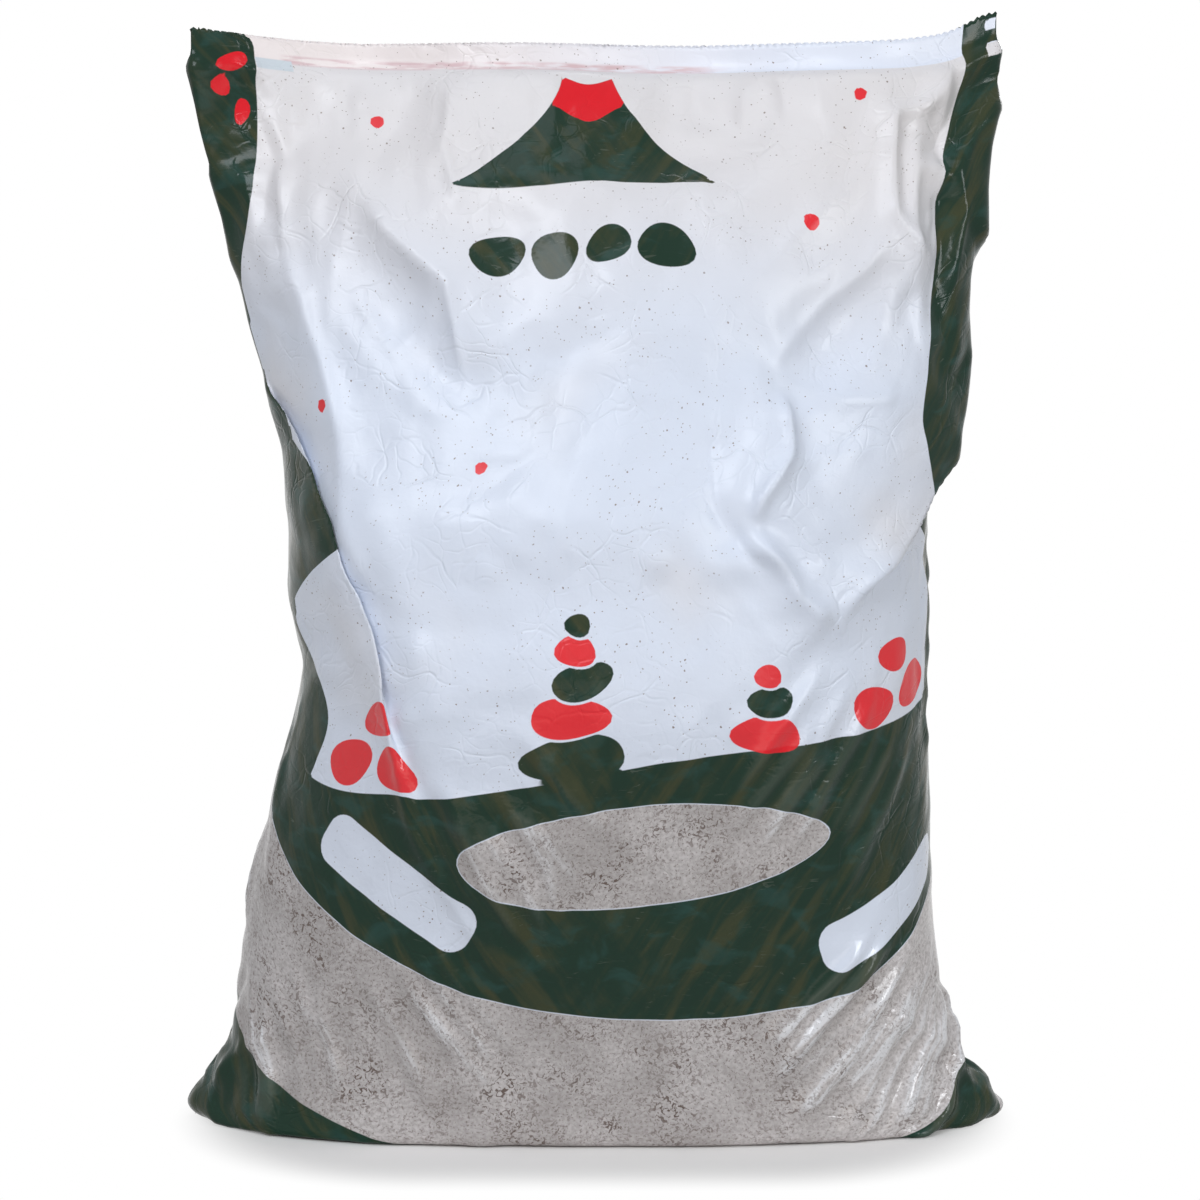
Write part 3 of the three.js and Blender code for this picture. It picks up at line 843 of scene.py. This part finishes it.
def hill(x, v):
    """The distances outside the hill and outside its cap."""
    share = np.clip((v - HILL["low"]) / (HILL["top"] - HILL["low"]), 0, 1)
    lean = 1 - (1 - share) ** HILL["slope"]
    left = HILL["foot"][0] + (HILL["summit"][0] - HILL["foot"][0]) * lean
    right = HILL["foot"][1] + (HILL["summit"][1] - HILL["foot"][1]) * lean
    waves = HILL_WAVES
    crater = HILL["top"] - waves["height"] * np.cos((x - waves["crater_from"]) / waves["crater"])
    whole = np.maximum.reduce([left - x, x - right, HILL["low"] - v, v - crater]) * 0.8
    cap = HILL["cap"] + waves["height"] * np.sin(x / waves["cap"])
    return whole, np.maximum(whole, cap - v)


def folded_flat(place_g):
    """The place across the flat tube, the same on both plies, and how far round the back a point is."""
    beyond = np.clip(np.abs(place_g) - FLAT_WIDTH / 2, 0, FLAT_WIDTH / 2)
    return place_g - 2 * np.sign(place_g) * beyond * (beyond > 0), beyond


def print_layers(x, beyond, v):
    """The distance outside each colour of the print, at every film point."""
    front = beyond == 0
    low = BAND_LOW["height"] + BAND_LOW["rise"] * (x - BAND_LOW["middle"]) ** 2
    left = np.where(front, curve(WHITE_LEFT)(v), -BACK_WHITE)
    right = np.where(front, curve(WHITE_RIGHT)(v), BACK_WHITE)
    sides = np.minimum(x - left, right - x)
    sides = np.maximum(sides, low - v)
    band = np.maximum(v - curve(BAND_TOP)(x), low - v)
    corners = np.minimum(v - curve(CORNER_LEFT)(x), v - curve(CORNER_RIGHT)(x))
    lens = np.where(front, stone(x, v, **LENS), FAR_OUT)
    plates = np.minimum.reduce([plate(x, v, **p) for p in PLATES])
    plates = np.where(front, plates, FAR_OUT)
    green = np.minimum.reduce([sides, band, corners])
    green = np.maximum.reduce([green, -lens, -plates])
    stones = {GREEN: np.full(x.shape, FAR_OUT), RED: np.full(x.shape, FAR_OUT)}
    for across, up, wide, high, turn, colour in STONES:
        one = np.where(front, stone(x, v, (across, up), (wide, high), turn), FAR_OUT)
        for other in stones:
            stones[other] = np.maximum(stones[other], STONE_GAP - one)
        stones[colour] = np.minimum(stones[colour], one)
    whole, cap = hill(x, v)
    green = np.minimum.reduce([green, stones[GREEN], np.where(front, whole, FAR_OUT)])
    red = np.minimum(stones[RED], np.where(front, cap, FAR_OUT))
    for across, up, wide, high in EDGE_MARKS:
        mark = np.maximum(np.abs(x - across) - wide, np.abs(v - up) - high)
        green = np.maximum(green, np.where(front, -mark, -FAR_OUT))
    grey = np.minimum(v - low, lens) + MISPRINT
    return {"green": green, "grey": grey, "red": red}


def lay_out(mesh, rows, columns):
    """The map for baked colours: the cut-open tube, with its two ends in narrow strips above it."""
    loops = np.empty(len(mesh.loops), np.int32)
    mesh.loops.foreach_get("vertex_index", loops)
    row, column = loops // columns, (loops % columns).astype(float)
    wall = 4 * (rows - 1) * columns
    quads = column[:wall].reshape(-1, 4)
    quads[:, 1:3] += np.where(quads[:, 1:3] < quads[:, [0]], columns, 0)
    u = column / columns
    v = row / (rows - 1) * BAKE_WALL
    half = columns // 2
    behind = column[wall:] > half
    u[wall:] = np.where(behind, columns - column[wall:], column[wall:]) / half
    strip = np.where(row[wall:] == 0, BAKE_STRIPS["foot"], BAKE_STRIPS["top"])
    strip = strip + np.where(behind, BAKE_STRIPS["back"], 0.0)
    v[wall:] = BAKE_WALL + (1 - BAKE_WALL) * strip
    spots = np.stack([u, v], axis=1).astype(np.float32)
    mesh.uv_layers.new(name="OFBake").uv.foreach_set("vector", spots.ravel())


def put_in_scene(name, data, place=(0, 0, 0), aim=None):
    """A new object in the scene; a lamp or a camera is pointed at its aim."""
    thing = bpy.data.objects.new(name, data)
    thing.location = place
    if aim:
        thing.rotation_euler = (Vector(aim) - Vector(place)).to_track_quat("-Z", "Y").to_euler()
    bpy.context.scene.collection.objects.link(thing)
    return thing


def end_faces(ring):
    """The faces that close one end of the tube, between its two plies."""
    half = len(ring) // 2
    front = ring[: half + 1]
    back = np.concatenate([ring[half:], ring[:1]])[::-1]
    strip = np.stack([front[:-1], front[1:], back[1:], back[:-1]], axis=-1)
    return [list(dict.fromkeys(face)) for face in strip.tolist()]


def film_piece(grid, place_g, v, crest):
    """The film as a closed Blender mesh, with its print's distances on its points."""
    rows, columns = grid.shape[:2]
    index = np.arange(rows * columns).reshape(rows, columns)
    right = np.roll(index, -1, axis=1)
    faces = np.stack([index[:-1], right[:-1], right[1:], index[1:]], axis=-1).reshape(-1, 4)
    lid = end_faces(index[-1])
    foot = [face[::-1] for face in end_faces(index[0])]
    mesh = bpy.data.meshes.new("bag_film")
    mesh.from_pydata((grid.reshape(-1, 3) * MM).tolist(), [], faces.tolist() + lid + foot)
    mesh.shade_smooth()
    for face in mesh.polygons[len(faces) :]:
        face.use_smooth = False
    x, beyond = folded_flat(place_g)
    for name, value in {**print_layers(x, beyond, v), "crest": crest}.items():
        layer = mesh.attributes.new(name, "FLOAT", "POINT")
        layer.data.foreach_set("value", value.astype(np.float32).ravel())
    spot = np.stack([x, v, BACK_DRIFT * beyond], axis=-1).astype(np.float32)
    mesh.attributes.new("flat", "FLOAT_VECTOR", "POINT").data.foreach_set("vector", spot.ravel())
    lay_out(mesh, rows, columns)
    mesh.update()
    return put_in_scene("bag_film", mesh)


class Shader:
    """A material's or the world's nodes: an input that is a socket is linked, any other is set on the node."""

    def __init__(self, owner, surface="Principled BSDF"):
        owner.use_nodes = True
        self.tree = owner.node_tree
        self.surface = self.tree.nodes[surface]

    def put(self, node, key, value):
        if isinstance(value, bpy.types.NodeSocket):
            self.tree.links.new(value, node.inputs[key])
        else:
            node.inputs[key].default_value = value

    def add(self, kind, inputs, **settings):
        node = self.tree.nodes.new("ShaderNode" + kind)
        for key, value in settings.items():
            setattr(node, key, value)
        for key, value in inputs.items():
            self.put(node, key, value)
        return node

    def attribute(self, name, output):
        return self.add("Attribute", {}, attribute_name=name).outputs[output]

    def math(self, operation, *values):
        return self.add("Math", dict(enumerate(values)), operation=operation).outputs[0]

    def ramp(self, value, low, high):
        inputs = {"Value": value, "From Min": low, "From Max": high}
        return self.add("MapRange", inputs, interpolation_type="SMOOTHSTEP").outputs[0]

    def mix(self, share, a, b):
        colours = [c if isinstance(c, bpy.types.NodeSocket) else (*c, 1) for c in (a, b)]
        node = self.add("Mix", {0: share, 6: colours[0], 7: colours[1]}, data_type="RGBA")
        return node.outputs[2]

    def stretch(self, vector, scale, turn=0.0):
        """The vector turned by an angle about z, and then scaled."""
        if turn:
            turned_by = (0, 0, math.radians(turn))
            vector = self.add("Mapping", {"Vector": vector, "Rotation": turned_by}).outputs[0]
        return self.add("Mapping", {"Vector": vector, "Scale": scale}).outputs[0]

    def noise(self, vector, size, detail=2.0, distortion=0.0):
        inputs = {"Vector": vector, "Scale": 1 / size, "Detail": detail, "Distortion": distortion}
        return self.add("TexNoise", inputs).outputs[0]

    def patches(self, vector, look):
        """Where patches of noise of one look lie, from 0 to 1."""
        settings = (look["size"], look.get("detail", 2.0), look.get("distortion", 0.0))
        scale = look.get("stretch")
        if "turns" in look:
            left, right = (self.noise(self.stretch(vector, scale, turn), *settings) for turn in look["turns"])
            side = self.ramp(self.place(vector)[0], *SLANT_TURNOVER)
            level = self.span(side, left, right)
        else:
            level = self.noise(self.stretch(vector, scale) if scale else vector, *settings)
        covered = self.ramp(level, *look["levels"])
        return self.times(covered, look["share"]) if "share" in look else covered

    def place(self, vector):
        """The vector's three parts."""
        return self.add("SeparateXYZ", {0: vector}).outputs

    def span(self, share, low, high):
        """From the low value to the high one, as the share goes from 0 to 1."""
        return self.add("MapRange", {"Value": share, "To Min": low, "To Max": high}).outputs[0]

    def times(self, *values):
        product = values[0]
        for value in values[1:]:
            product = self.math("MULTIPLY", product, value)
        return product

    def window(self, value, rise_from, rise_to, fall_from, fall_to):
        """1 between two places, and 0 outside them."""
        return self.times(self.ramp(value, rise_from, rise_to), self.ramp(value, fall_to, fall_from))

    def seen(self):
        """1 for what is seen, straight, mirrored or through glass, and 0 for light that falls on things."""
        path = self.add("LightPath", {}).outputs
        mirrored = self.math("MAXIMUM", path["Is Glossy Ray"], path["Is Transmission Ray"])
        return self.math("MAXIMUM", path["Is Camera Ray"], mirrored)

    def cells(self, vector, size, **settings):
        return self.add("TexVoronoi", {"Vector": vector, "Scale": 1 / size}, **settings)

    def net(self, vector, size):
        """The distance from the nearest line of a net that lies in the film's plane."""
        settings = {"voronoi_dimensions": "2D", "feature": "DISTANCE_TO_EDGE"}
        return self.cells(vector, size, **settings).outputs["Distance"]


def white_colour(s, flat_at, weld):
    """The bare white film: cool, with painted warm shade in patches and towards the top of the neck, with
    brown specks and with its weld at the top.
    """
    across, up, drift = s.place(flat_at)
    # Painted warm shade: cream patches at random, and a warmer neck towards the top
    warmth = s.math("MAXIMUM", s.patches(flat_at, WARM_SHADE_PATCHES), s.times(s.ramp(up, *WARM_SHADE_UP), WARM_SHADE_SHARE))
    colour = s.mix(warmth, WHITE_FILM, WARM_SHADED_FILM)
    strip = s.mix(s.ramp(across, *STRIP_TURNS), WARM_STRIP, COOL_STRIP)
    colour = s.mix(s.ramp(up, weld - WELD_EDGE, weld + WELD_EDGE), colour, strip)
    front = s.math("LESS_THAN", drift, FRONT_DRIFT)
    marks = []
    for mark in (RUBBED_LINE, TAPE_SCRAP):
        heights = [weld + height for height in mark["up"]]
        marks.append(s.times(front, s.window(up, *heights), s.window(across, *mark["across"])))
    colour = s.mix(s.times(marks[0], s.patches(flat_at, DUST_STREAKS)), colour, DUST)
    colour = s.mix(marks[1], colour, TAPE)
    return s.mix(s.times(specks(s, flat_at), s.patches(flat_at, SPECK_CLUSTERS)), colour, SPECK)


def specks(s, flat_at):
    """Where small ragged specks lie: a dot in about half of the cells of each spacing."""
    ragged = s.add("TexNoise", {"Vector": flat_at, **RAGGED}).outputs[1]
    ragged = s.add("VectorMath", {0: flat_at, 1: ragged}, operation="ADD").outputs[0]
    share = 0.0
    for spacing, size in SPECKS:
        cells = s.cells(ragged, spacing, feature="F1")
        near = s.ramp(cells.outputs["Distance"], *(share_of * size / spacing for share_of in SPECK_EDGE))
        draw = s.add("SeparateColor", {0: cells.outputs["Color"]}).outputs[0]
        share = s.math("MAXIMUM", share, s.times(near, s.math("GREATER_THAN", draw, 1 - SPECK_CHANCE)))
    return share


def grey_colour(s, flat_at):
    """The grey field: cloudy and finely mottled, paler to the right, with a painted highlight on wrinkle
    crests and clustered dark flecks.
    """
    pale = s.ramp(s.place(flat_at)[0], *GREY_PALES)
    cloud = s.math("MAXIMUM", s.patches(flat_at, GREY_CLOUDS), pale)
    colour = s.mix(cloud, GREY_INK, PALE_GREY_INK)
    colour = s.mix(s.patches(flat_at, GREY_MOTTLE), colour, GREY_SHADE)
    # Painted highlight: the grey turns pale in streaks along the crests of wrinkles
    crest = s.ramp(s.attribute("crest", "Fac"), *GREY_SHEEN_CRESTS)
    colour = s.mix(s.times(crest, s.patches(flat_at, CREST_SHEEN_STREAKS)), colour, GREY_CREST_SHEEN)
    coarse = s.times(s.patches(flat_at, FLECKS), s.patches(flat_at, FLECK_CLUSTERS))
    share = s.math("MAXIMUM", coarse, s.patches(flat_at, FINE_FLECKS))
    return s.mix(s.times(share, s.span(pale, *FLECK_SHARE)), colour, FLECK)


def green_colour(s, flat_at):
    """The green ink: dark green with painted olive and teal reflections, in streaks that rise to both sides
    and in blotches, greyer where it is rubbed, and with a painted highlight on wrinkle crests.
    """
    # Painted reflections: olive streaks and teal blotches over the green ink
    colour = s.mix(s.patches(flat_at, OLIVE_REFLECTION_STREAKS), GREEN_INK, OLIVE_PAINTED_REFLECTION)
    colour = s.mix(s.patches(flat_at, TEAL_REFLECTION_BLOTCHES), colour, TEAL_PAINTED_REFLECTION)
    rubbed = s.times(s.patches(flat_at, SCRATCHES), s.patches(flat_at, SCRATCHED))
    # Painted highlight: the green turns greyer along wrinkle crests; the scratches are real wear
    crest = s.times(s.ramp(s.attribute("crest", "Fac"), *GREEN_SHEEN_CRESTS), GREEN_CREST_SHEEN)
    return s.mix(s.math("MAXIMUM", rubbed, crest), colour, RUBBED_AND_SHEEN_INK)


def film_relief(s, flat_at):
    """The film's small crinkles in millimetres: fine creases, and grains that press through the film."""
    swirl = s.add("TexNoise", {"Vector": flat_at, **SWIRL}).outputs[1]
    reach = (SWIRL_REACH, SWIRL_REACH, SWIRL_REACH)
    wavy = s.add("VectorMath", {0: swirl, 1: reach, 2: flat_at}, operation="MULTIPLY_ADD").outputs[0]
    height = 0.0
    for size, width, lift in NETS:
        height = s.math("MULTIPLY_ADD", s.ramp(s.net(wavy, size), 0.0, width), lift, height)
    height = s.times(height, s.patches(flat_at, CRINKLED))
    height = s.math("MULTIPLY_ADD", s.noise(flat_at, WAVES[0], 3), WAVES[1], height)
    grains = s.times(s.noise(flat_at, GRAINS[0]), s.ramp(s.place(flat_at)[1], *GRAINS_END))
    return s.math("MULTIPLY_ADD", grains, GRAINS[1], height)


def film_roughness(s, flat_at, bare):
    """Shiny over the fill and where the ink is green, duller on the bare dusty neck."""
    patchy = s.span(s.noise(flat_at, ROUGH_PATCHES), *FILL_ROUGHNESS)
    neck = s.ramp(s.place(flat_at)[1], *ROUGH_UP)
    return s.math("MULTIPLY_ADD", s.times(neck, bare), DUST_ROUGHNESS, patchy)


def film_material(weld):
    """The printed film: each ink covers the film where the distance outside its field is below nought."""
    material = bpy.data.materials.new("printed_film")
    s = Shader(material)
    flat_at = s.attribute("flat", "Vector")
    colour = white_colour(s, flat_at, weld)
    inks = {"grey": grey_colour(s, flat_at), "green": green_colour(s, flat_at), "red": RED_INK}
    for name, ink in inks.items():
        inside = s.ramp(s.attribute(name, "Fac"), PRINT_EDGE, -PRINT_EDGE)
        colour = s.mix(inside, colour, ink)
    s.put(s.surface, "Base Color", colour)
    bare = s.ramp(s.attribute("green", "Fac"), -PRINT_EDGE, PRINT_EDGE)
    s.put(s.surface, "Roughness", film_roughness(s, flat_at, bare))
    s.put(s.surface, "Specular IOR Level", s.span(bare, GREEN_GLOSS, WHITE_GLOSS))
    bump = s.add("Bump", {"Height": film_relief(s, flat_at), "Distance": MM, "Strength": 1.0})
    s.put(s.surface, "Normal", bump.outputs[0])
    return material


def make_floor():
    """The pale floor: white far off, while the bag's shadow stays on it close by."""
    far = FLOOR_REACH
    mesh = bpy.data.meshes.new("floor")
    mesh.from_pydata([(-far, -far, 0), (far, -far, 0), (far, far, 0), (-far, far, 0)], [], [(0, 1, 2, 3)])
    material = bpy.data.materials.new("floor")
    mesh.materials.append(material)
    s = Shader(material)
    s.put(s.surface, "Roughness", 1.0)
    s.put(s.surface, "Specular IOR Level", 0.0)
    place = s.add("NewGeometry", {}).outputs["Position"]
    aside = s.add("VectorMath", {0: place}, operation="ABSOLUTE").outputs[0]
    aside = s.add("VectorMath", {0: aside, 1: (FLOOR_LINE, 0, 0)}, operation="SUBTRACT").outputs[0]
    aside = s.add("VectorMath", {0: aside, 1: (0, 0, 0)}, operation="MAXIMUM").outputs[0]
    aside = s.add("VectorMath", {0: aside}, operation="LENGTH").outputs["Value"]
    away = s.ramp(aside, FLOOR_NEAR, FLOOR_FAR)
    s.put(s.surface, "Base Color", s.mix(away, FLOOR_COLOUR, FAR_FLOOR))
    white = s.add("Emission", {"Color": (1, 1, 1, 1), "Strength": 1.0}).outputs[0]
    both = s.add("MixShader", {0: s.times(away, s.seen()), 1: s.surface.outputs[0], 2: white}).outputs[0]
    s.put(s.tree.nodes["Material Output"], "Surface", both)
    put_in_scene("floor", mesh)


def make_world():
    """An even sky: white where it is seen or mirrored, dimmer as light."""
    world = bpy.data.worlds.new("world")
    s = Shader(world, "Background")
    s.put(s.surface, "Color", (1, 1, 1, 1))
    s.put(s.surface, "Strength", s.span(s.seen(), SKY_LIGHT, 1.0))
    bpy.context.scene.world = world


def area_light(name, place, aim, size, power, colour):
    """A lamp with a rectangular face, pointed at a place."""
    lamp = bpy.data.lights.new(name, "AREA")
    lamp.shape = "RECTANGLE"
    lamp.size, lamp.size_y = size
    lamp.energy = power
    lamp.color = colour
    put_in_scene(name, lamp, place, aim)


def make_camera():
    """The camera at the photograph's viewing angle."""
    data = bpy.data.cameras.new("camera")
    data.lens = CAMERA_LENS
    data.sensor_width = CAMERA_SENSOR
    bpy.context.scene.camera = put_in_scene("camera", data, CAMERA_AT, CAMERA_AIM)


grid, flat, laid, crest = settled_film()
place_g = print_place(flat, laid)
film = film_piece(grid, place_g, flat.v, crest)
film.data.materials.append(film_material(flat.length - WELD_STRIP))
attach(film, "root")
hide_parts("sealed_bag")
make_floor()
make_world()
for lamp in LAMPS:
    area_light(*lamp)
bpy.context.scene.view_settings.view_transform = "Standard"
make_camera()
